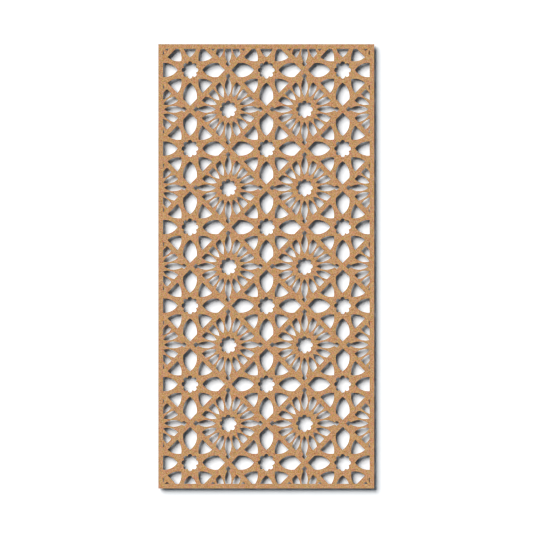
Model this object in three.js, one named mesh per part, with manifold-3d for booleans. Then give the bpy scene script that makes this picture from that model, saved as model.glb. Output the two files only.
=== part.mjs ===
// A pierced lattice screen: one flat sheet of fibreboard, cut right through with an eight- and sixteen-fold
// star pattern and left with a plain border all round. It is fixed by its back to a wall, a frame or battens.
//
// Millimetres, +Z up. X runs along the width and the front faces -Y. The origin is the centre of the back face,
// where two straps of the pattern cross.
//
// The pattern. Slanting straps cross in a grid of diamonds. Every other diamond holds a rosette of sixteen
// petals, and those between hold a star of eight wider petals. Each has the same scalloped hole at its centre,
// and the straps cut its petals off. The holes are worked out on a square module, tileWidth a side, which is
// then stretched to tileHeight. Holes that run into the border are cut off along its inner edge.

import * as THREE from 'three';
import { mergeGeometries, mergeVertices } from 'three/addons/utils/BufferGeometryUtils.js';
import Module from 'manifold-3d';

// Sheet
const panelWidth = 1186;
const panelHeight = 2440;
const panelThickness = 12;
const borderWidth = 25.5;

// Repeat of the pattern
const tileWidth = 419.3;
const tileHeight = 431.3;
const strapWidth = 25.5;

// Scalloped hole at the centre of every rosette and star: its lobes, how far from the centre they and the
// notches between them are, and the ring of wood round it
const holeLobes = 8;
const lobesReach = 46;
const notchesAt = 36.5;
const ringWidth = 22.1;

// Rosette: how many petals, how far out they are widest, and the thinnest rib between two of them
const rosettePetals = 16;
const rosetteWidestAt = 120.5;
const rosetteRib = 9;

// Petals on the rosette's own axes run on past a neck into a knob
const neckWidth = 11.5;
const knobWidth = 27.5;

// Star
const starPetals = 8;
const starWidestAt = 139.5;
const starRib = 23.5;

// How finely the curved sides are faceted, and the narrowest cut that is made at all
const petalArcSteps = 2;
const narrowestCut = 1.5;

const petalStart = lobesReach + ringWidth;
const diamondReach = tileWidth / 2 - strapWidth / Math.SQRT2;
const stretch = tileHeight / tileWidth;
const openingX = panelWidth / 2 - borderWidth;
const openingY = panelHeight / 2 - borderWidth;
const onAxisTolerance = 1e-6;
const samePoint = 1e-3;

/** How far a point lies past the strap round its diamond: negative inside the diamond. */
const pastStrap = ([x, y]) => Math.abs(x) + Math.abs(y) - diamondReach;

const turned = ([x, y], angle) => [
  x * Math.cos(angle) - y * Math.sin(angle),
  x * Math.sin(angle) + y * Math.cos(angle),
];

/** The lens that a petal is cut from: two equal arcs that leave a rib of the stated width to the next petal. */
function petalLens(count, widestAt, rib) {
  const half = Math.PI / count;
  const length = widestAt - petalStart;
  const room = 2 * widestAt * Math.sin(half) - rib;
  const spare = Math.sqrt(Math.max(room ** 2 - (2 * Math.sin(half) * length) ** 2, 0));
  const halfWidth = (room + spare) / (2 * (1 + Math.cos(half)));
  const radius = (length ** 2 + halfWidth ** 2) / (2 * halfWidth);
  return { widestAt, halfWidth, radius, tipAngle: Math.asin(Math.min(length / radius, 1)) };
}

/** A point on the upper side of a lens that lies along +X, at an angle of its arc. */
function onSide(lens, angle) {
  const { widestAt, halfWidth, radius } = lens;
  return [widestAt + radius * Math.sin(angle), radius * Math.cos(angle) - radius + halfWidth];
}

/** The arc angle at which a side stops: where it first meets the strap, or at the lens's outer tip. */
function sideEnd(lens, place) {
  let inside = -lens.tipAngle;
  let outside = lens.tipAngle;
  if (pastStrap(place(onSide(lens, outside))) <= 0) return outside;
  for (let i = 0; i < 50; i++) {
    const middle = (inside + outside) / 2;
    if (pastStrap(place(onSide(lens, middle))) > 0) outside = middle;
    else inside = middle;
  }
  return inside;
}

/** Points along one side of a petal, from its inner tip to the arc angle given. */
function sidePoints(lens, end, place) {
  return Array.from({ length: petalArcSteps + 1 }, (_, i) =>
    place(onSide(lens, -lens.tipAngle + ((end + lens.tipAngle) * i) / petalArcSteps)));
}

/** A petal that the strap cuts off, at an angle from the X axis. */
function cutPetal(lens, angle) {
  const left = (point) => turned(point, angle);
  const right = ([x, y]) => turned([x, -y], angle);
  const leftSide = sidePoints(lens, sideEnd(lens, left), left);
  const rightSide = sidePoints(lens, sideEnd(lens, right), right);
  const onAxis = Math.abs(Math.sin(2 * angle)) < onAxisTolerance;
  const tip = onAxis && pastStrap(leftSide.at(-1)) > -onAxisTolerance ? [turned([diamondReach, 0], angle)] : [];
  return [...rightSide, ...tip, ...leftSide.reverse()];
}

/** A rosette's petal on its own axis: a lens, a neck and a knob that ends in the corner of the diamond. */
function neckedPetal(lens, angle) {
  const { widestAt, halfWidth, radius } = lens;
  const neckAngle = Math.acos((radius - halfWidth + neckWidth / 2) / radius);
  const shoulder = [diamondReach - knobWidth / 2, knobWidth / 2];
  const left = (point) => turned(point, angle);
  const right = ([x, y]) => turned([x, -y], angle);
  return [
    ...sidePoints(lens, neckAngle, right),
    right(shoulder),
    left([diamondReach, 0]),
    left(shoulder),
    ...sidePoints(lens, neckAngle, left).reverse(),
  ];
}

/** The scalloped hole. Each lobe is faceted in two, from notch to tip to notch. */
function scallopedHole() {
  return Array.from({ length: 2 * holeLobes }, (_, k) =>
    turned([k % 2 === 0 ? lobesReach : notchesAt, 0], (Math.PI * k) / holeLobes));
}

const rosetteLens = petalLens(rosettePetals, rosetteWidestAt, rosetteRib);
const starLens = petalLens(starPetals, starWidestAt, starRib);

function rosetteHoles() {
  const petals = Array.from({ length: rosettePetals }, (_, k) => {
    const angle = (2 * Math.PI * k) / rosettePetals;
    const onAxis = Math.abs(Math.sin(2 * angle)) < onAxisTolerance;
    return onAxis ? neckedPetal(rosetteLens, angle) : cutPetal(rosetteLens, angle);
  });
  return [scallopedHole(), ...petals];
}

function starHoles() {
  const petals = Array.from({ length: starPetals }, (_, k) => cutPetal(starLens, (2 * Math.PI * k) / starPetals));
  return [scallopedHole(), ...petals];
}

/** How much of an outline lies within reach of the centre along one axis. */
function lengthWithin(outline, axis, reach) {
  const values = outline.map((point) => point[axis]);
  return Math.min(Math.max(...values), reach) - Math.max(Math.min(...values), -reach);
}

/** The outlines of every hole that shows inside the border, not yet cut off by it. */
function holeOutlines() {
  const across = Math.ceil(panelWidth / tileWidth / 2) + 1;
  const up = Math.ceil(panelHeight / tileHeight / 2) + 1;
  const shows = (outline) =>
    Math.min(lengthWithin(outline, 0, openingX), lengthWithin(outline, 1, openingY)) >= narrowestCut;
  const placedAt = (centreX, centreY) => (outline) =>
    outline.map(([x, y]) => [centreX + x, centreY + y * stretch]);
  const found = [];
  for (let i = -across; i <= across; i++) {
    for (let j = -up; j <= up; j++) {
      found.push(...rosetteHoles().map(placedAt((i + 0.5) * tileWidth, j * tileHeight)));
      found.push(...starHoles().map(placedAt(i * tileWidth, (j + 0.5) * tileHeight)));
    }
  }
  return found.filter(shows);
}

/** A closed prism with the given outline, standing on the XY plane. */
function prism(outline, height) {
  const points = outline.filter((point, i) => {
    const before = outline.at(i - 1);
    return Math.hypot(point[0] - before[0], point[1] - before[1]) > samePoint;
  });
  const shape = new THREE.Shape(points.map((point) => new THREE.Vector2(...point)));
  return new THREE.ExtrudeGeometry(shape, { depth: height, bevelEnabled: false });
}

const wasm = await Module();
wasm.setup();

/** The solid that a closed geometry bounds. */
function solidOf(geometry) {
  const bare = geometry.clone();
  bare.deleteAttribute('normal');
  bare.deleteAttribute('uv');
  const merged = mergeVertices(bare);
  const mesh = new wasm.Mesh({
    numProp: 3,
    vertProperties: new Float32Array(merged.attributes.position.array),
    triVerts: new Uint32Array(merged.index.array),
  });
  return new wasm.Manifold(mesh);
}

/** The geometry of a solid. */
function geometryOf(solid) {
  const { vertProperties, triVerts } = solid.getMesh();
  const geometry = new THREE.BufferGeometry();
  geometry.setAttribute('position', new THREE.BufferAttribute(vertProperties, 3));
  geometry.setIndex(new THREE.BufferAttribute(triVerts, 1));
  const flat = geometry.toNonIndexed();
  flat.computeVertexNormals();
  return flat;
}

/** The sheet with every hole cut right through it, its back face on the XY plane. */
function panelGeometry() {
  const sheet = new THREE.BoxGeometry(panelWidth, panelHeight, panelThickness);
  const opening = new THREE.BoxGeometry(2 * openingX, 2 * openingY, 2 * panelThickness);
  const cutters = holeOutlines().map((outline) => prism(outline, 4 * panelThickness));
  const cuts = mergeGeometries(cutters).translate(0, 0, -2 * panelThickness);
  const holes = solidOf(cuts).intersect(solidOf(opening));
  return geometryOf(solidOf(sheet).subtract(holes)).translate(0, 0, panelThickness / 2);
}

const fibreboard = new THREE.MeshStandardMaterial({ color: 0xc3966a, roughness: 0.85, metalness: 0 });

const panel = new THREE.Mesh(panelGeometry(), fibreboard);
panel.name = 'screen_panel';
panel.rotation.x = Math.PI / 2;

const screen = new THREE.Group();
screen.add(panel);

export default screen;
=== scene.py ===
"""A pierced fibreboard screen: one flat sheet, cut right through with rosettes and stars between straps.

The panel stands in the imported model's frame, in metres: X along its width, Z up, the front facing -Y and
the back face on Y = 0. Geometry Nodes cut the pattern, with one chamfered prism as the tool for every
opening. The same prism, tapered the other way, trims the sheet. The tools work flat on the XY plane, and
the finished sheet is stood up.
"""

import logging
import math
from collections.abc import Mapping
from dataclasses import dataclass
from enum import Enum

import bpy
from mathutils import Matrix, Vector


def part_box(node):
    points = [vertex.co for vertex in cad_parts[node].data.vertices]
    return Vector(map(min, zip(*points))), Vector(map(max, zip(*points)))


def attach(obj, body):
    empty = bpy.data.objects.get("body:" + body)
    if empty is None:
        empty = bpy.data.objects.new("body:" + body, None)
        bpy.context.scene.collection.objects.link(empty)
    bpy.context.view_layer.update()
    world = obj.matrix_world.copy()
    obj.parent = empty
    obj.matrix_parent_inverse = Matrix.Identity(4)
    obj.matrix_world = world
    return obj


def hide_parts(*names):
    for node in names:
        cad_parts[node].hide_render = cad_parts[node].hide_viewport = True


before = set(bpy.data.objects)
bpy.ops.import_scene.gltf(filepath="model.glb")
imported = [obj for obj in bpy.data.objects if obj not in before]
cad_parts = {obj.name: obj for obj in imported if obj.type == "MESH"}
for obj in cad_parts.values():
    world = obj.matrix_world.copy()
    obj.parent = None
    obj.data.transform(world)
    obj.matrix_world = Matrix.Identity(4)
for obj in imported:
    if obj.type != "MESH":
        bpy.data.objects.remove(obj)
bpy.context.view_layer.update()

Socket = bpy.types.NodeSocket
Inputs = Mapping[str | int, object]
Triple = tuple[float, float, float]
Colour = Triple
log = logging.getLogger("pierced_screen")

PANEL_NODE = "screen_panel"
PIXEL_FILTER = 1.2
SIDES_OF_SQUARE = 4
APOTHEM_OF_SQUARE = math.sqrt(0.5)


class SocketKind(Enum):
    """The kinds of named input that a geometry tree takes."""

    LENGTH = "NodeSocketFloat"
    COUNT = "NodeSocketInt"
    MATERIAL = "NodeSocketMaterial"
    SHAPE = "NodeSocketGeometry"


class Cut(Enum):
    """What a solid boolean keeps."""

    COMMON = "INTERSECT"
    TOGETHER = "UNION"
    REST = "DIFFERENCE"


class SquareTurn(Enum):
    """How a square tool stands in the pattern, as its turn about the tool's own axis."""

    CORNERS_ON_AXES = 0.0
    FLATS_ON_AXES = math.pi / 4


class NodeTree:
    """A node tree that is written one node at a time."""

    def __init__(self, tree: bpy.types.NodeTree) -> None:
        """Wraps a tree.

        Args:
            tree: The Blender tree that the nodes go into.
        """
        self.tree = tree

    def add(self, kind: str, values: Inputs | None = None, **settings: object) -> bpy.types.Node:
        """Adds a node.

        Args:
            kind: The node's type name.
            values: For each input, by name or number, a socket to link from or a constant.
            settings: The node's own properties.

        Returns:
            The new node.
        """
        node = self.tree.nodes.new(kind)
        for key, value in settings.items():
            setattr(node, key, value)
        self.fill(node, values or {})
        return node

    def fill(self, node: bpy.types.Node, values: Inputs) -> None:
        """Sets a node's inputs.

        Args:
            node: The node.
            values: For each input, by name or number, a socket to link from or a constant.
        """
        for key, value in values.items():
            if isinstance(value, Socket):
                self.tree.links.new(value, node.inputs[key])
            else:
                node.inputs[key].default_value = value

    def math(self, operation: str, *values: object) -> Socket:
        """Adds a Math node.

        Args:
            operation: What the node works out.
            values: Its operands, each a socket or a number.

        Returns:
            The node's result.
        """
        return self.add("ShaderNodeMath", dict(enumerate(values)), operation=operation).outputs[0]


class GeometryTree(NodeTree):
    """A Geometry Nodes tree with named inputs."""

    def __init__(self, name: str) -> None:
        """Makes an empty tree with one geometry output.

        Args:
            name: The tree's name.
        """
        super().__init__(bpy.data.node_groups.new(name, "GeometryNodeTree"))
        self.entry = self.tree.nodes.new("NodeGroupInput")
        self.identifiers: dict[str, str] = {}
        self.tree.interface.new_socket("Geometry", in_out="OUTPUT", socket_type=SocketKind.SHAPE.value)

    def input(self, name: str, kind: SocketKind = SocketKind.LENGTH) -> Socket:
        """Names one input of the tree.

        Args:
            name: The input's name.
            kind: What it holds.

        Returns:
            The socket that gives its value inside the tree.
        """
        item = self.tree.interface.new_socket(name, in_out="INPUT", socket_type=kind.value)
        self.identifiers[name] = item.identifier
        return self.entry.outputs[name]

    def call(self, group: "GeometryTree", values: Inputs) -> Socket:
        """Adds another tree as a node.

        Args:
            group: The tree to add.
            values: Its inputs.

        Returns:
            The geometry that it makes.
        """
        node = self.add("GeometryNodeGroup", node_tree=group.tree)
        self.fill(node, values)
        return node.outputs["Geometry"]

    def place(self, geometry: Socket, **parts: object) -> Socket:
        """Moves, turns or scales a geometry.

        Args:
            geometry: What to place.
            parts: Any of Translation, Rotation and Scale, each a vector.

        Returns:
            The placed geometry.
        """
        return self.add("GeometryNodeTransform", {"Geometry": geometry, **parts}).outputs[0]

    def vector(self, x: object = 0.0, y: object = 0.0, z: object = 0.0) -> Socket:
        """Joins three numbers or sockets into a vector."""
        return self.add("ShaderNodeCombineXYZ", {0: x, 1: y, 2: z}).outputs[0]

    def boolean(self, cut: Cut, first: Socket, *others: Socket) -> Socket:
        """Joins or cuts solids.

        Args:
            cut: What is kept.
            first: The solid that others are taken from, in a difference.
            others: The other solids.

        Returns:
            The solid that results.
        """
        node = self.add("GeometryNodeMeshBoolean", operation=cut.value, solver="MANIFOLD")
        for solid in reversed(others):
            self.tree.links.new(solid, node.inputs["Mesh 2"])
        self.tree.links.new(first, node.inputs["Mesh 1" if cut is Cut.REST else "Mesh 2"])
        return node.outputs[0]

    def on_points(self, points: Socket, shape: Socket, turn: Socket | None = None) -> Socket:
        """Puts a real copy of a shape on every point.

        Args:
            points: Where the copies go.
            shape: What is copied.
            turn: The turn of each copy, if they differ.

        Returns:
            The copies, realized.
        """
        values: dict[str | int, object] = {"Points": points, "Instance": shape}
        if turn is not None:
            values["Rotation"] = turn
        copies = self.add("GeometryNodeInstanceOnPoints", values)
        return self.add("GeometryNodeRealizeInstances", {"Geometry": copies.outputs[0]}).outputs[0]

    def finish(self, geometry: Socket) -> "GeometryTree":
        """Links the tree's output.

        Args:
            geometry: What the tree gives.

        Returns:
            The tree itself.
        """
        exit_node = self.tree.nodes.new("NodeGroupOutput")
        self.tree.links.new(geometry, exit_node.inputs["Geometry"])
        return self


class CuttingTool:
    """A regular prism along Z that widens past both faces of the board, so that it breaks the rims it cuts.

    It has four rings. The inner two stand an arris below the faces of the board, and the outer two stand
    that far above them, each wider by as much as it is higher.
    """

    def __init__(self) -> None:
        """Builds the tool's tree, whose inputs are Sides, Apothem, Board, Arris and Turn."""
        rings, inner_ring_at, past_rim = 4, 0.5, 2.0
        tree = GeometryTree("cutting_tool")
        sides = tree.input("Sides", SocketKind.COUNT)
        apothem = tree.input("Apothem")
        board = tree.input("Board")
        arris = tree.input("Arris")
        turn = tree.input("Turn")
        spine = tree.add("GeometryNodeCurvePrimitiveLine", {"Start": (0, 0, -1), "End": (0, 0, 1)})
        ringed = tree.add("GeometryNodeSubdivideCurve", {"Curve": spine.outputs[0], "Cuts": rings - 2})
        index = tree.add("GeometryNodeInputIndex").outputs[0]
        from_middle = tree.math("SUBTRACT", index, (rings - 1) / 2)
        is_end = tree.math("SUBTRACT", tree.math("ABSOLUTE", from_middle), inner_ring_at)
        arris_size = tree.math("ABSOLUTE", arris)
        inner_height = tree.math("SUBTRACT", tree.math("MULTIPLY", board, 0.5), arris_size)
        rise = tree.math("MULTIPLY", is_end, tree.math("MULTIPLY", arris_size, past_rim))
        height = tree.math("MULTIPLY", tree.math("SIGN", from_middle), tree.math("ADD", inner_height, rise))
        values = {"Geometry": ringed.outputs[0], "Position": tree.vector(z=height)}
        placed = tree.add("GeometryNodeSetPosition", values)
        widening = tree.math("MULTIPLY", is_end, tree.math("MULTIPLY", arris, past_rim))
        half_angle = tree.math("DIVIDE", math.pi, sides)
        corner = tree.math("DIVIDE", tree.math("ADD", apothem, widening), tree.math("COSINE", half_angle))
        circle = {"Resolution": sides, "Radius": 1.0}
        profile = tree.add("GeometryNodeCurvePrimitiveCircle", circle, mode="RADIUS")
        curves = {"Curve": placed.outputs[0], "Profile Curve": profile.outputs[0]}
        solid = tree.add("GeometryNodeCurveToMesh", {**curves, "Scale": corner, "Fill Caps": True})
        self.tree = tree.finish(tree.place(solid.outputs[0], Rotation=tree.vector(z=turn)))


@dataclass(frozen=True)
class Petal:
    """A petal's lens: two equal arcs between its tips, along the X axis from the centre of its motif.

    Args:
        start: How far from the centre its inner tip is.
        widest_at: How far from the centre it is widest.
        half_width: Half its greatest width.
    """

    start: float
    widest_at: float
    half_width: float

    @property
    def radius(self) -> float:
        """The radius of both arcs."""
        length = self.widest_at - self.start
        return (length**2 + self.half_width**2) / (2 * self.half_width)


@dataclass(frozen=True)
class Knob:
    """The end of a petal that runs past a neck: a rhombus across it, cut off by the straps.

    Args:
        half_width: Half its width across the petal.
        half_length: Half its length along the petal, which sets how it narrows to the neck.
        count: How many petals of the motif have one.
    """

    half_width: float
    half_length: float
    count: int


@dataclass(frozen=True)
class Scallop:
    """The hole at the centre of a motif: a round hole with smaller round lobes about its rim.

    Args:
        lobes: How many lobes there are.
        reach: How far they reach from the centre.
        lobe_radius: The radius of each.
        notch_at: How far from the centre the notches between them are.
    """

    lobes: int
    reach: float
    lobe_radius: float
    notch_at: float


@dataclass(frozen=True)
class Motif:
    """A ring of petals round a scalloped hole, cut off by the straps of its diamond.

    Args:
        name: What it is called.
        petals: How many petals it has.
        petal: Their lens.
        scallop: The hole.
        reach: How far the diamond's corners are from its centre.
        knob: The knobs of the petals on its own axes, if it has them.
    """

    name: str
    petals: int
    petal: Petal
    scallop: Scallop
    reach: float
    knob: Knob | None = None

    def cutter(self, tool: CuttingTool, sheet: "PiercedSheet") -> GeometryTree:
        """Builds the tree of the solid that cuts the motif's openings.

        Args:
            tool: The prism that every opening is cut with.
            sheet: The sheet, for its thickness, its arris and how finely arcs are faceted.

        Returns:
            The tree, with its sizes as named inputs.
        """
        tree = GeometryTree(self.name)
        board = tree.input("Board")
        arris = tree.input("Arris")

        def prism(sides: int, apothem: Socket) -> Socket:
            """Adds a prism that cuts through the board and breaks its rims."""
            turn = SquareTurn.CORNERS_ON_AXES.value
            values = {"Sides": sides, "Apothem": apothem, "Board": board, "Arris": arris, "Turn": turn}
            return tree.call(tool.tree, values)

        radius = tree.input("Petal arc radius")
        widest_at = tree.input("Petal widest at")
        half_width = tree.input("Petal half width")
        round_bar = prism(sheet.arc_sides, radius)
        offset = tree.math("SUBTRACT", radius, half_width)
        below = tree.place(round_bar, Translation=tree.vector(widest_at, tree.math("MULTIPLY", offset, -1.0)))
        above = tree.place(round_bar, Translation=tree.vector(widest_at, offset))
        lens = tree.boolean(Cut.COMMON, below, above)
        cuts = [self.ring(tree, lens, self.petals)]
        if self.knob:
            half = tree.input("Knob half width")
            long_half = tree.input("Knob half length")
            knob_at = tree.input("Knob middle at")
            square = prism(SIDES_OF_SQUARE, tree.math("MULTIPLY", half, APOTHEM_OF_SQUARE))
            longer = tree.vector(tree.math("DIVIDE", long_half, half), 1.0, 1.0)
            rhombus = tree.place(square, Scale=longer, Translation=tree.vector(knob_at))
            cuts.append(self.ring(tree, rhombus, self.knob.count))
        reach = tree.input("Reach")
        diamond = prism(SIDES_OF_SQUARE, tree.math("MULTIPLY", reach, APOTHEM_OF_SQUARE))
        petals = tree.boolean(Cut.COMMON, tree.boolean(Cut.TOGETHER, *cuts), diamond)
        lobe_radius = tree.input("Lobe radius")
        lobe_at = tree.vector(tree.math("SUBTRACT", tree.input("Lobe reach"), lobe_radius))
        lobe = tree.place(prism(sheet.lobe_sides, lobe_radius), Translation=lobe_at)
        every_other = self.ring(tree, lobe, self.scallop.lobes // 2)
        between = tree.place(every_other, Rotation=(0.0, 0.0, 2 * math.pi / self.scallop.lobes))
        middle = prism(sheet.arc_sides, tree.input("Notch at"))
        return tree.finish(tree.boolean(Cut.TOGETHER, petals, every_other, between, middle))

    def ring(self, tree: GeometryTree, shape: Socket, count: int) -> Socket:
        """Sets copies of a shape evenly round the motif's centre.

        Args:
            tree: The tree to write in.
            shape: What is copied.
            count: How many copies there are.

        Returns:
            The copies.
        """
        centre = tree.add("GeometryNodeMeshLine", {"Count": count, "Offset": (0, 0, 0)})
        index = tree.add("GeometryNodeInputIndex").outputs[0]
        turn = tree.math("MULTIPLY", index, 2 * math.pi / count)
        return tree.on_points(centre.outputs[0], shape, tree.vector(z=turn))

    def sizes(self) -> dict[str, float]:
        """Gives the value of each of the tree's size inputs.

        Returns:
            The values by input name.
        """
        found = {
            "Petal arc radius": self.petal.radius,
            "Petal widest at": self.petal.widest_at,
            "Petal half width": self.petal.half_width,
            "Reach": self.reach,
            "Lobe radius": self.scallop.lobe_radius,
            "Lobe reach": self.scallop.reach,
            "Notch at": self.scallop.notch_at,
        }
        if self.knob:
            found["Knob half width"] = self.knob.half_width
            found["Knob half length"] = self.knob.half_length
            found["Knob middle at"] = self.reach - self.knob.half_width
        return found


def speckled(
    tree: NodeTree, position: Socket, scale: float, layers: float = 1.0, contrast: float = 0.5
) -> bpy.types.Node:
    """Adds a noise texture.

    Args:
        tree: The material's tree.
        position: Where it is read.
        scale: How many features there are to a metre.
        layers: How many finer layers it has.
        contrast: How strong those are.

    Returns:
        The texture. It is about 0.5 on average, as one number or as one for each channel.
    """
    values = {"Vector": position, "Scale": scale, "Detail": layers, "Roughness": contrast}
    return tree.add("ShaderNodeTexNoise", values)


def blended(tree: NodeTree, share: object, first: object, second: object) -> Socket:
    """Adds a colour mix.

    Args:
        tree: The material's tree.
        share: How much of the second colour there is.
        first: The first colour, a socket or four numbers.
        second: The second colour, likewise.

    Returns:
        The mixed colour.
    """
    factor, colour_a, colour_b, result = 0, 6, 7, 2
    values = {factor: share, colour_a: first, colour_b: second}
    return tree.add("ShaderNodeMix", values, data_type="RGBA", clamp_factor=True).outputs[result]


def shares(tree: NodeTree, value: Socket, low: float, high: float) -> Socket:
    """Spreads a value so that low gives 0 and high gives 1."""
    values = {"Value": value, "From Min": low, "From Max": high}
    return tree.add("ShaderNodeMapRange", values, clamp=True).outputs[0]


def opaque(colour: Colour) -> tuple[float, float, float, float]:
    """Gives a colour its fourth number."""
    return (*colour, 1.0)


def new_material(name: str) -> tuple[bpy.types.Material, NodeTree, bpy.types.Node]:
    """Makes a material with a bare Principled shader.

    Args:
        name: The material's name.

    Returns:
        The material, its tree and the shader node.
    """
    material = bpy.data.materials.new(name)
    material.use_nodes = True
    tree = NodeTree(material.node_tree)
    return material, tree, material.node_tree.nodes["Principled BSDF"]


@dataclass(frozen=True)
class SandedFace:
    """The board's sanded face: tan and matt, with light and dark specks, tinted specks and fine dark fibres.

    Args:
        colour: The mean colour.
        light_swing: How far the light and dark specks take each channel, from darkest to lightest.
        tint_swing: How far the tinted specks take each channel, each channel by itself.
        fleck: The colour of the darkest fibres.
        light_scale: Light and dark specks to a metre.
        tint_scale: Tinted specks to a metre.
        fibre_scale: Fibres to a metre.
        fibre_layers: How many finer layers the fibres have.
        fibre_contrast: How strong those are.
        fleck_range: The fibre noise at which the darkest fibres start to show, and show in full.
        roughness: The shader's roughness.
        nap: How far the fibres stand up, in metres.
        nap_strength: How much of that shows.
    """

    colour: Colour = (0.437, 0.228, 0.096)
    light_swing: Colour = (0.50, 0.39, 0.29)
    tint_swing: Colour = (0.24, 0.195, 0.155)
    fleck: Colour = (0.30, 0.15, 0.06)
    light_scale: float = 150.0
    tint_scale: float = 112.0
    fibre_scale: float = 430.0
    fibre_layers: float = 4.0
    fibre_contrast: float = 0.65
    fleck_range: tuple[float, float] = (0.5, 0.9)
    roughness: float = 0.82
    nap: float = 0.00015
    nap_strength: float = 0.6

    def material(self) -> bpy.types.Material:
        """Builds the material.

        Returns:
            The material.
        """
        material, tree, shader = new_material("sanded_face")
        place = tree.add("ShaderNodeTexCoord").outputs["Object"]
        fine = speckled(tree, place, self.fibre_scale, self.fibre_layers, self.fibre_contrast)
        fibres = fine.outputs["Fac"]
        darkest = tuple(mean - (light + tint) / 2 for mean, light, tint in self.channels())
        tints = speckled(tree, place, self.tint_scale).outputs["Color"]
        tinted = self.swung(tree, tints, self.tint_swing, darkest)
        a_metre_off = (1.0, 1.0, 1.0)
        apart = tree.add("ShaderNodeVectorMath", {0: place, 1: a_metre_off}, operation="ADD").outputs[0]
        light = speckled(tree, apart, self.light_scale).outputs["Fac"]
        ground = self.swung(tree, light, self.light_swing, tinted)
        colour = blended(tree, shares(tree, fibres, *self.fleck_range), ground, opaque(self.fleck))
        values = {"Height": fibres, "Distance": self.nap, "Strength": self.nap_strength}
        bump = tree.add("ShaderNodeBump", values)
        tree.tree.links.new(colour, shader.inputs["Base Color"])
        tree.tree.links.new(bump.outputs[0], shader.inputs["Normal"])
        shader.inputs["Roughness"].default_value = self.roughness
        return material

    def channels(self) -> list[Triple]:
        """Gives each channel's mean, light swing and tint swing."""
        return list(zip(self.colour, self.light_swing, self.tint_swing))

    def swung(self, tree: NodeTree, noise: Socket, swing: Colour, start: Socket | Colour) -> Socket:
        """Moves a colour by a noise.

        Args:
            tree: The material's tree.
            noise: The noise, one for all channels or one for each.
            swing: How far it takes each channel.
            start: The colour that it starts from.

        Returns:
            The colour.
        """
        values = {0: noise, 1: swing, 2: start}
        return tree.add("ShaderNodeVectorMath", values, operation="MULTIPLY_ADD").outputs[0]


@dataclass(frozen=True)
class CutEdge:
    """The cut walls and the sheet's own edges: a darker, rougher brown with lines across the board.

    Args:
        colour: The mean colour.
        scorched: The colour of the darker lines.
        line_scale: Lines to a metre, along the cut.
        line_layers: How many finer layers the lines have.
        line_contrast: How strong those are.
        drawn_out: How much the noise is squeezed across the board, so that its specks become lines.
        scorched_range: The line noise at which the darker lines start to show, and show in full.
        roughness: The shader's roughness.
        ridge: How far the lines stand up, in metres.
        ridge_strength: How much of that shows.
    """

    colour: Colour = (0.40, 0.215, 0.10)
    scorched: Colour = (0.25, 0.12, 0.052)
    line_scale: float = 420.0
    line_layers: float = 3.0
    line_contrast: float = 0.6
    drawn_out: float = 0.12
    scorched_range: tuple[float, float] = (0.4, 0.75)
    roughness: float = 0.9
    ridge: float = 0.0002
    ridge_strength: float = 0.6

    def material(self) -> bpy.types.Material:
        """Builds the material.

        Returns:
            The material.
        """
        material, tree, shader = new_material("cut_edge")
        place = tree.add("ShaderNodeTexCoord").outputs["Object"]
        squeezed = {"Vector": place, "Scale": (1.0, self.drawn_out, 1.0)}
        drawn = tree.add("ShaderNodeMapping", squeezed).outputs[0]
        lines = speckled(tree, drawn, self.line_scale, self.line_layers, self.line_contrast).outputs["Fac"]
        darker = shares(tree, lines, *self.scorched_range)
        colour = blended(tree, darker, opaque(self.colour), opaque(self.scorched))
        values = {"Height": lines, "Distance": self.ridge, "Strength": self.ridge_strength}
        bump = tree.add("ShaderNodeBump", values)
        tree.tree.links.new(colour, shader.inputs["Base Color"])
        tree.tree.links.new(bump.outputs[0], shader.inputs["Normal"])
        shader.inputs["Roughness"].default_value = self.roughness
        return material


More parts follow.
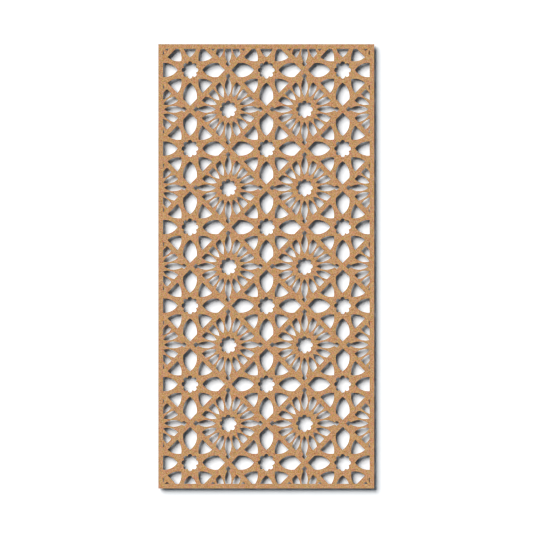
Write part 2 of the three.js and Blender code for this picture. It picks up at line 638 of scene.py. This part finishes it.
@dataclass
class PiercedSheet:
    """The whole screen: a pierced sheet with a plain border. It stands for the solid of the same shape.

    Args:
        border: How wide the plain border is.
        tile_width: How far apart the motifs of one kind are along the width.
        tile_height: The same along the height.
        strap: How wide the slanting straps are.
        scallop: The hole at the centre of every motif.
        ring: The wood between that hole and the petals.
        rosette_petals: How many petals a rosette has.
        rosette_widest_at: How far from the centre they are widest.
        rosette_half_width: Half their greatest width.
        knob: The knobs of the rosette's petals.
        star_petals: How many petals a star has.
        star_widest_at: How far from the centre they are widest.
        star_half_width: Half their greatest width.
        arris: How much the cut rims are broken.
        arc_sides: How many facets a petal's arc would have as a full circle.
        lobe_sides: How many facets a lobe would have as a full circle.
        flat_above: How squarely a surface faces the front or the back where it counts as a sanded face.
        sharp_from: The angle between two faces from which their edge is sharp, in radians.
        weld: How close two points are where they become one: nearer than any two that the pattern needs.
        face_cells: How many cells each face is split into before it is cut, along the width and the height.
            Each stays simple to fill, and with odd counts no cell's edge runs through a motif's centre.
    """

    border: float = 0.0255
    tile_width: float = 0.4193
    tile_height: float = 0.4313
    strap: float = 0.0255
    scallop: Scallop = Scallop(lobes=8, reach=0.0460, lobe_radius=0.0120, notch_at=0.0365)
    ring: float = 0.0221
    rosette_petals: int = 16
    rosette_widest_at: float = 0.1205
    rosette_half_width: float = 0.0178
    knob: Knob = Knob(half_width=0.01375, half_length=0.0240, count=4)
    star_petals: int = 8
    star_widest_at: float = 0.1395
    star_half_width: float = 0.0380
    arris: float = 0.0005
    arc_sides: int = 96
    lobe_sides: int = 32
    flat_above: float = 0.9
    sharp_from: float = math.radians(30)
    weld: float = 0.000003
    face_cells: tuple[int, int] = (13, 25)

    def __post_init__(self) -> None:
        """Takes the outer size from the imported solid."""
        low, high = (Vector(corner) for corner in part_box(PANEL_NODE))
        self.width, self.thickness, self.height = high - low
        self.centre = (low + high) / 2

    def motifs(self) -> tuple[Motif, Motif]:
        """Gives the two motifs of the pattern.

        Returns:
            The rosette and the star.
        """
        start = self.scallop.reach + self.ring
        reach = self.tile_width / 2 - self.strap / math.sqrt(2)
        narrow = Petal(start, self.rosette_widest_at, self.rosette_half_width)
        wide = Petal(start, self.star_widest_at, self.star_half_width)
        rosette = Motif("rosette", self.rosette_petals, narrow, self.scallop, reach, self.knob)
        star = Motif("star", self.star_petals, wide, self.scallop, reach)
        return rosette, star

    def copies(self, length: float, pitch: float, reach: float, on_centre: bool) -> int:
        """Counts the motifs that show along one side of the sheet.

        Args:
            length: The sheet's size along that side.
            pitch: How far apart the motifs are.
            reach: How far one reaches from its centre.
            on_centre: Whether one of them is centred on the sheet.

        Returns:
            The count.
        """
        seen = (length / 2 - self.border + reach) / pitch
        return 2 * math.floor(seen) + 1 if on_centre else 2 * math.floor(seen + 0.5)

    def block(
        self, tree: GeometryTree, tool: CuttingTool, size: tuple[Socket, Socket], arris: Socket
    ) -> Socket:
        """Makes a rectangular block that is as wide and high as stated at the middle of the board.

        Args:
            tree: The tree to write in.
            tool: The prism that it is made of.
            size: Its width and height.
            arris: How much wider it gets towards a face of the board, or narrower if negative.

        Returns:
            The block, which stands proud of both faces.
        """
        far_apart = 10.0
        walls = []
        for length, stretch in zip(size, ((1.0, far_apart, 1.0), (far_apart, 1.0, 1.0))):
            values = {
                "Sides": SIDES_OF_SQUARE,
                "Apothem": tree.math("MULTIPLY", length, 0.5),
                "Board": tree.entry.outputs["Board"],
                "Arris": arris,
                "Turn": SquareTurn.FLATS_ON_AXES.value,
            }
            walls.append(tree.place(tree.call(tool.tree, values), Scale=stretch))
        return tree.boolean(Cut.COMMON, *walls)

    def finished(self, tree: GeometryTree, sheet: Socket) -> Socket:
        """Gives the faces and the cut edges their finishes, and smooths the curved walls.

        Args:
            tree: The tree to write in.
            sheet: The pierced sheet, standing.

        Returns:
            The finished sheet.
        """
        normal = tree.add("GeometryNodeInputNormal").outputs["Normal"]
        facing = tree.math("ABSOLUTE", tree.add("ShaderNodeSeparateXYZ", {0: normal}).outputs["Y"])
        is_face = tree.math("GREATER_THAN", facing, self.flat_above)
        edge = tree.input("Cut edge", SocketKind.MATERIAL)
        face = tree.input("Sanded face", SocketKind.MATERIAL)
        edged = tree.add("GeometryNodeSetMaterial", {"Geometry": sheet, "Material": edge}).outputs[0]
        values = {"Geometry": edged, "Selection": is_face, "Material": face}
        dressed = tree.add("GeometryNodeSetMaterial", values).outputs[0]
        smooth = tree.add("GeometryNodeSetShadeSmooth", {"Geometry": dressed}, domain="FACE").outputs[0]
        angle = tree.add("GeometryNodeInputMeshEdgeAngle").outputs["Unsigned Angle"]
        is_round = tree.math("LESS_THAN", angle, self.sharp_from)
        values = {"Geometry": smooth, "Shade Smooth": is_round}
        return tree.add("GeometryNodeSetShadeSmooth", values, domain="EDGE").outputs[0]

    def build(self) -> tuple[GeometryTree, dict[str, object]]:
        """Builds the tree of the whole sheet.

        Returns:
            The tree, and the value of each of its inputs by name.
        """
        tree = GeometryTree("pierced_sheet")
        tool = CuttingTool()
        sizes: dict[str, object] = {
            "Sheet width": self.width,
            "Sheet height": self.height,
            "Board": self.thickness,
            "Arris": self.arris,
            "Border": self.border,
            "Tile width": self.tile_width,
            "Tile height": self.tile_height,
        }
        width, height, board, arris, border, tile_width, tile_height = (tree.input(name) for name in sizes)
        stretch = tree.vector(1.0, tree.math("DIVIDE", tile_height, tile_width), 1.0)
        cutters = []
        for motif, rosette in zip(self.motifs(), (True, False)):
            own = motif.sizes()
            names = {size: f"{motif.name} {size}".capitalize() for size in own}
            values = {size: tree.input(name) for size, name in names.items()}
            sizes.update({names[size]: value for size, value in own.items()})
            cutter = tree.call(motif.cutter(tool, self), {"Board": board, "Arris": arris, **values})
            tall = self.tile_height / self.tile_width
            across = self.copies(self.width, self.tile_width, motif.reach, not rosette)
            up = self.copies(self.height, self.tile_height, motif.reach * tall, rosette)
            spread = {
                "Size X": tree.math("MULTIPLY", tile_width, across - 1),
                "Size Y": tree.math("MULTIPLY", tile_height, up - 1),
                "Vertices X": across,
                "Vertices Y": up,
            }
            centres = tree.add("GeometryNodeMeshGrid", spread).outputs["Mesh"]
            cutters.append(tree.on_points(centres, tree.place(cutter, Scale=stretch)))

        twice = tree.math("MULTIPLY", border, 2.0)
        inside = (tree.math("SUBTRACT", width, twice), tree.math("SUBTRACT", height, twice))
        opening = self.block(tree, tool, inside, arris)
        blank = self.block(tree, tool, (width, height), tree.math("MULTIPLY", arris, -1.0))
        across, up = self.face_cells
        values = {"Size": tree.vector(width, height, board), "Vertices X": across + 1, "Vertices Y": up + 1}
        slab = tree.add("GeometryNodeMeshCube", values).outputs[0]
        holes = tree.boolean(Cut.COMMON, tree.boolean(Cut.TOGETHER, *cutters), opening)
        flat = tree.boolean(Cut.REST, tree.boolean(Cut.COMMON, slab, blank), holes)
        back = tree.vector(y=tree.math("MULTIPLY", board, -0.5))
        values = {"Geometry": flat, "Distance": tree.input("Weld")}
        clean = tree.add("GeometryNodeMergeByDistance", values).outputs[0]
        standing = tree.place(clean, Rotation=(math.pi / 2, 0.0, 0.0), Translation=back)
        tree.finish(self.finished(tree, standing))
        finishes = {"Cut edge": CutEdge().material(), "Sanded face": SandedFace().material()}
        sizes.update({"Weld": self.weld, **finishes})
        return tree, sizes

    def make(self) -> bpy.types.Object:
        """Makes the piece, as a plain mesh that stands for the solid.

        Returns:
            The piece.
        """
        tree, sizes = self.build()
        piece = bpy.data.objects.new("pierced_panel", bpy.data.meshes.new("pierced_panel"))
        bpy.context.scene.collection.objects.link(piece)
        pattern = piece.modifiers.new("Pattern", "NODES")
        pattern.node_group = tree.tree
        for name, value in sizes.items():
            pattern[tree.identifiers[name]] = value
        depsgraph = bpy.context.evaluated_depsgraph_get()
        piece_mesh = bpy.data.meshes.new_from_object(piece.evaluated_get(depsgraph), depsgraph=depsgraph)
        piece.modifiers.remove(pattern)
        piece.data = piece_mesh
        self.drop_empty_slots(piece_mesh)
        piece_mesh.name = piece.name
        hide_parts(PANEL_NODE)
        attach(piece, "root")
        return piece

    def drop_empty_slots(self, mesh: bpy.types.Mesh) -> None:
        """Removes the material slots that the cutting tools left empty.

        Args:
            mesh: The sheet's mesh.
        """
        held = list(mesh.materials)
        kept = [material for material in held if material]
        chosen = [0] * len(mesh.polygons)
        mesh.polygons.foreach_get("material_index", chosen)
        mesh.materials.clear()
        for material in kept:
            mesh.materials.append(material)
        mesh.polygons.foreach_set("material_index", [kept.index(held[index]) for index in chosen])


@dataclass(frozen=True)
class PhotoView:
    """Where the panel is in the photograph, which fixes the camera.

    Args:
        side: The photograph's width and height in pixels.
        left: The panel's left edge, in pixels.
        right: Its right edge.
        top: Its top edge.
        bottom: Its bottom edge.
        lens: The lens, in millimetres: long, because the photograph shows no perspective.
        sensor: The sensor's width, in millimetres.
    """

    side: float = 533.0
    left: float = 158.50
    right: float = 374.20
    top: float = 44.20
    bottom: float = 488.50
    lens: float = 300.0
    sensor: float = 36.0

    def make(self, sheet: PiercedSheet) -> bpy.types.Object:
        """Makes the camera, straight in front of the panel.

        Args:
            sheet: The panel that it looks at.

        Returns:
            The camera.
        """
        metres_per_pixel = sheet.height / (self.bottom - self.top)
        data = bpy.data.cameras.new("camera")
        data.lens, data.sensor_width = self.lens, self.sensor
        away = self.side * metres_per_pixel * self.lens / self.sensor
        right_of_middle = (self.left + self.right - self.side) / 2 * metres_per_pixel
        below_middle = (self.top + self.bottom - self.side) / 2 * metres_per_pixel
        camera = bpy.data.objects.new("camera", data)
        front = sheet.centre.y - sheet.thickness / 2
        camera.location = (sheet.centre.x - right_of_middle, front - away, sheet.centre.z + below_middle)
        camera.rotation_euler = (math.pi / 2, 0.0, 0.0)
        nearest, depth = 0.1, 4 * away
        data.clip_start, data.clip_end = nearest, depth
        bpy.context.scene.collection.objects.link(camera)
        bpy.context.scene.camera = camera
        return camera


def lights_the_seen(tree: NodeTree) -> Socket:
    """Adds a number: 1 where a light shines straight on what the camera sees, and 0 at later bounces."""
    straight, bounced = 1, 2
    depth = tree.add("ShaderNodeLightPath").outputs["Ray Depth"]
    return tree.math("LESS_THAN", depth, (straight + bounced) / 2)


@dataclass(frozen=True)
class SoftLight:
    """A distant light with soft shadows.

    Args:
        name: What it is called.
        towards: The direction in which it shines.
        strength: How strong it is.
        spread: How wide it looks, as an angle in degrees.
        only_seen: Whether it lights only what the camera sees, and not what throws light on that.
    """

    name: str
    towards: Triple
    strength: float
    spread: float
    only_seen: bool = False

    def make(self) -> bpy.types.Object:
        """Makes the light.

        Returns:
            The light.
        """
        data = bpy.data.lights.new(self.name, "SUN")
        data.energy, data.angle = self.strength, math.radians(self.spread)
        if self.only_seen:
            data.use_nodes = True
            tree = NodeTree(data.node_tree)
            tree.tree.links.new(lights_the_seen(tree), data.node_tree.nodes["Emission"].inputs["Strength"])
        light = bpy.data.objects.new(self.name, data)
        light.rotation_mode = "QUATERNION"
        light.rotation_quaternion = Vector(self.towards).to_track_quat("-Z", "Y")
        bpy.context.scene.collection.objects.link(light)
        return light


@dataclass
class Studio:
    """A white wall close behind the panel, a pale floor below it and soft light from the upper left.

    Args:
        wall_gap: How far the wall is behind the panel's back face.
        floor_drop: How far the floor is below the panel.
        extent: How far the wall and the floor reach.
        wall_white: How much light the wall gives back.
        floor_white: How much the floor does.
        ambient: How bright the light from all round is.
        sky: The colour of that light.
        behind: How bright it is from behind, on what the camera sees.
        key: The main light.
        back_fill: A light from behind, on what the camera sees.
    """

    wall_gap: float = 0.0205
    floor_drop: float = 0.30
    extent: float = 60.0
    wall_white: float = 0.92
    floor_white: float = 0.80
    ambient: float = 0.100
    sky: Colour = (0.72, 1.0, 1.25)
    behind: float = 1.0
    key: SoftLight = SoftLight("key", (0.72, 1.0, -0.72), 5.1, 46.0)
    back_fill: SoftLight = SoftLight("back_fill", (-0.5, -1.0, -0.6), 4.5, 40.0, True)

    def plane(self, name: str, corners: list[Triple], white: float) -> bpy.types.Object:
        """Makes one flat part of the studio.

        Args:
            name: Its name.
            corners: Its corners, anticlockwise from the side that is seen.
            white: How much light it gives back.

        Returns:
            The plane.
        """
        mesh = bpy.data.meshes.new(name)
        mesh.from_pydata(corners, [], [tuple(range(len(corners)))])
        material, _, shader = new_material(name)
        shader.inputs["Base Color"].default_value = (white, white, white, 1.0)
        shader.inputs["Roughness"].default_value = 1.0
        shader.inputs["Specular IOR Level"].default_value = 0.0
        mesh.materials.append(material)
        plane = bpy.data.objects.new(name, mesh)
        bpy.context.scene.collection.objects.link(plane)
        return plane

    def make(self, sheet: PiercedSheet) -> None:
        """Makes the wall, the floor, the lights and the surroundings.

        Args:
            sheet: The panel that they stand round.
        """
        back = sheet.centre.y + sheet.thickness / 2 + self.wall_gap
        ground = sheet.centre.z - sheet.height / 2 - self.floor_drop
        reach = self.extent
        upright = [(-reach, back, ground), (reach, back, ground), (reach, back, reach), (-reach, back, reach)]
        wall = self.plane("wall", upright, self.wall_white)
        self.see_through_from_behind(wall)
        square = [(-reach, -reach), (reach, -reach), (reach, reach), (-reach, reach)]
        floor = self.plane("floor", [(x, y, ground) for x, y in square], self.floor_white)
        floor.visible_diffuse = False
        self.key.make()
        self.back_fill.make()
        self.surround()

    def see_through_from_behind(self, wall: bpy.types.Object) -> None:
        """Lets the panel's back be seen and lit through the wall, whose front stays solid.

        Args:
            wall: The wall.
        """
        for ray in ("diffuse", "glossy", "transmission", "shadow"):
            setattr(wall, f"visible_{ray}", False)
        tree = NodeTree(wall.data.materials[0].node_tree)
        front = tree.tree.nodes["Principled BSDF"].outputs[0]
        clear = tree.add("ShaderNodeBsdfTransparent").outputs[0]
        backfacing = tree.add("ShaderNodeNewGeometry").outputs["Backfacing"]
        either = tree.add("ShaderNodeMixShader", {0: backfacing, 1: front, 2: clear})
        tree.tree.links.new(either.outputs[0], tree.tree.nodes["Material Output"].inputs["Surface"])

    def surround(self) -> None:
        """Fills the surroundings with even light, and shows them white."""
        world = bpy.data.worlds.new("surround")
        world.use_nodes = True
        bpy.context.scene.world = world
        tree = NodeTree(world.node_tree)
        direction = tree.add("ShaderNodeTexCoord").outputs["Generated"]
        depth_axis = tree.add("ShaderNodeSeparateXYZ", {0: direction}).outputs["Y"]
        values = {
            "Value": tree.math("GREATER_THAN", depth_axis, 0.0),
            "To Min": self.ambient,
            "To Max": tree.math("MULTIPLY", lights_the_seen(tree), self.behind),
        }
        around = tree.add("ShaderNodeMapRange", values)
        seen = tree.add("ShaderNodeLightPath").outputs["Is Camera Ray"]
        values = {"Value": seen, "To Min": around.outputs[0], "To Max": 1.0}
        strength = tree.add("ShaderNodeMapRange", values).outputs[0]
        colour = blended(tree, seen, opaque(self.sky), opaque((1.0, 1.0, 1.0)))
        background = world.node_tree.nodes["Background"]
        tree.tree.links.new(colour, background.inputs["Color"])
        tree.tree.links.new(strength, background.inputs["Strength"])


def main() -> None:
    """Builds the screen and the studio, and reports each piece."""
    logging.basicConfig(level=logging.INFO, format="%(name)s: %(message)s")
    sheet = PiercedSheet()
    PhotoView().make(sheet)
    piece = sheet.make()
    piece.data.calc_loop_triangles()
    log.info("%s: %d triangles", piece.name, len(piece.data.loop_triangles))
    Studio().make(sheet)
    scene = bpy.context.scene
    scene.view_settings.view_transform = "Standard"
    scene.cycles.filter_width = PIXEL_FILTER


if __name__ == "__main__":
    main()
